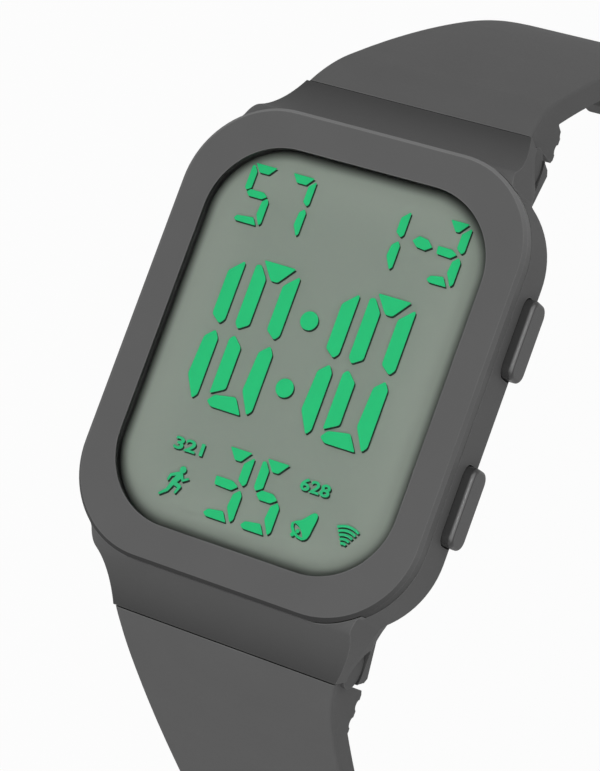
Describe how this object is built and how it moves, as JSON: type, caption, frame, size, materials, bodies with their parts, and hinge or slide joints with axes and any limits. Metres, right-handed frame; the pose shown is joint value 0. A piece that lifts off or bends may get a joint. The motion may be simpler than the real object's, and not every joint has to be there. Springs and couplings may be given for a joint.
{
  "type": "digital watch",
  "caption": "Rectangular resin digital wristwatch with a segment display, side push buttons, and an open strap with pin buckle and keeper loop",
  "frame": {"origin": "centre of the outer face of the case back", "axes": "+Z out of the dial, +Y to 12 o'clock, +X to 3 o'clock where the buttons are"},
  "size_m": [0.0381, 0.1198, 0.0997],
  "materials": {
    "case_resin": "satin moulded resin",
    "bezel_resin": "fine matte resin",
    "strap_resin": "matte moulded resin",
    "button_resin": "polished resin",
    "lens_glass": "clear polished",
    "seal_rubber": "matte",
    "display_cell": "smooth grey-green",
    "reflector_film": "satin film",
    "light_guide": "translucent white",
    "strip_rubber": "striped elastomer",
    "frame_plastic": "moulded",
    "board_laminate": "solder mask",
    "chip_resin": "glossy drop of resin",
    "can_steel": "bright plated",
    "coil_copper": "wound copper",
    "capacitor_ceramic": "ceramic",
    "contact_brass": "gold plated leaf",
    "insulator_film": "amber film",
    "battery_steel": "plain steel can",
    "clip_steel": "spring steel sheet",
    "spring_steel": "drawn wire",
    "sounder_brass": "brass and ceramic disc",
    "back_steel": "circular brushed",
    "screw_steel": "plain",
    "bar_steel": "drawn",
    "buckle_steel": "brushed"
  },
  "bodies": {
    "case": {"case_body": "case_resin", "bezel": "bezel_resin", "lens": "lens_glass", "lens_gasket": "seal_rubber", "lcd_panel": "display_cell", "lcd_reflector": "reflector_film", "backlight_panel": "light_guide", "contact_strips": "strip_rubber", "module_frame": "frame_plastic", "circuit_board": "board_laminate", "chip_cover": "chip_resin", "quartz_crystal": "can_steel", "boost_coil": "coil_copper", "board_capacitors": "capacitor_ceramic", "upper_contact": "contact_brass", "lower_contact": "contact_brass", "battery_insulator": "insulator_film", "coin_battery": "battery_steel", "battery_clip": "clip_steel", "sounder_spring": "spring_steel", "piezo_disc": "sounder_brass", "case_back": "back_steel", "case_back_gasket": "seal_rubber", "case_back_screws": "screw_steel", "upper_button_spring": "spring_steel", "lower_button_spring": "spring_steel", "upper_bar_tube": "bar_steel", "lower_bar_tube": "bar_steel", "upper_bar_spring": "spring_steel", "lower_bar_spring": "spring_steel"},
    "upper_button": {"upper_button": "button_resin", "upper_button_seal": "seal_rubber", "upper_button_clip": "clip_steel"},
    "lower_button": {"lower_button": "button_resin", "lower_button_seal": "seal_rubber", "lower_button_clip": "clip_steel"},
    "upper_tip_right": {"upper_bar_tip_right": "bar_steel"},
    "upper_tip_left": {"upper_bar_tip_left": "bar_steel"},
    "lower_tip_right": {"lower_bar_tip_right": "bar_steel"},
    "lower_tip_left": {"lower_bar_tip_left": "bar_steel"},
    "upper_strap": {"upper_strap": "strap_resin"},
    "lower_strap": {"lower_strap": "strap_resin"},
    "keeper": {"strap_keeper": "strap_resin"},
    "buckle": {"buckle_frame": "buckle_steel", "buckle_pin": "buckle_steel"},
    "tongue": {"buckle_tongue": "buckle_steel"}
  },
  "joints": [
    {"name": "upper_button_press", "type": "slide", "parent": "case", "child": "upper_button", "axis": [-1, 0, 0], "range_m": [0, 0.0006], "stiffness_N_per_m": 2500, "springref_m": -0.0004, "deforming": ["upper_button_spring"]},
    {"name": "lower_button_press", "type": "slide", "parent": "case", "child": "lower_button", "axis": [-1, 0, 0], "range_m": [0, 0.0006], "stiffness_N_per_m": 2500, "springref_m": -0.0004, "deforming": ["lower_button_spring"]},
    {"name": "upper_strap_swing", "type": "hinge", "parent": "case", "child": "upper_strap", "pos_m": [0, 0.0259, 0.0028], "axis": [-1, 0, 0], "range_deg": [0, 6]},
    {"name": "upper_right_tip_slide", "type": "slide", "parent": "case", "child": "upper_tip_right", "axis": [-1, 0, 0], "range_m": [0, 0.0016], "stiffness_N_per_m": 900, "springref_m": -0.0008, "deforming": ["upper_bar_spring"]},
    {"name": "upper_left_tip_slide", "type": "slide", "parent": "case", "child": "upper_tip_left", "axis": [1, 0, 0], "range_m": [0, 0.0016], "stiffness_N_per_m": 900, "springref_m": -0.0008},
    {"name": "lower_strap_swing", "type": "hinge", "parent": "case", "child": "lower_strap", "pos_m": [0, -0.0259, 0.0028], "axis": [1, 0, 0], "range_deg": [0, 6]},
    {"name": "lower_right_tip_slide", "type": "slide", "parent": "case", "child": "lower_tip_right", "axis": [-1, 0, 0], "range_m": [0, 0.0016], "stiffness_N_per_m": 900, "springref_m": -0.0008, "deforming": ["lower_bar_spring"]},
    {"name": "lower_left_tip_slide", "type": "slide", "parent": "case", "child": "lower_tip_left", "axis": [1, 0, 0], "range_m": [0, 0.0016], "stiffness_N_per_m": 900, "springref_m": -0.0008},
    {"name": "keeper_slide", "type": "slide", "parent": "upper_strap", "child": "keeper", "axis": [0, 0.0295, -0.9996], "range_m": [-0.008, 0.0005]},
    {"name": "buckle_swing", "type": "hinge", "parent": "upper_strap", "child": "buckle", "pos_m": [0, 0.05525, -0.07248], "axis": [1, 0, 0], "range_deg": [-25, 25]},
    {"name": "tongue_swing", "type": "hinge", "parent": "buckle", "child": "tongue", "pos_m": [0, 0.05525, -0.07248], "axis": [1, 0, 0], "range_deg": [0, 70]}
  ]
}
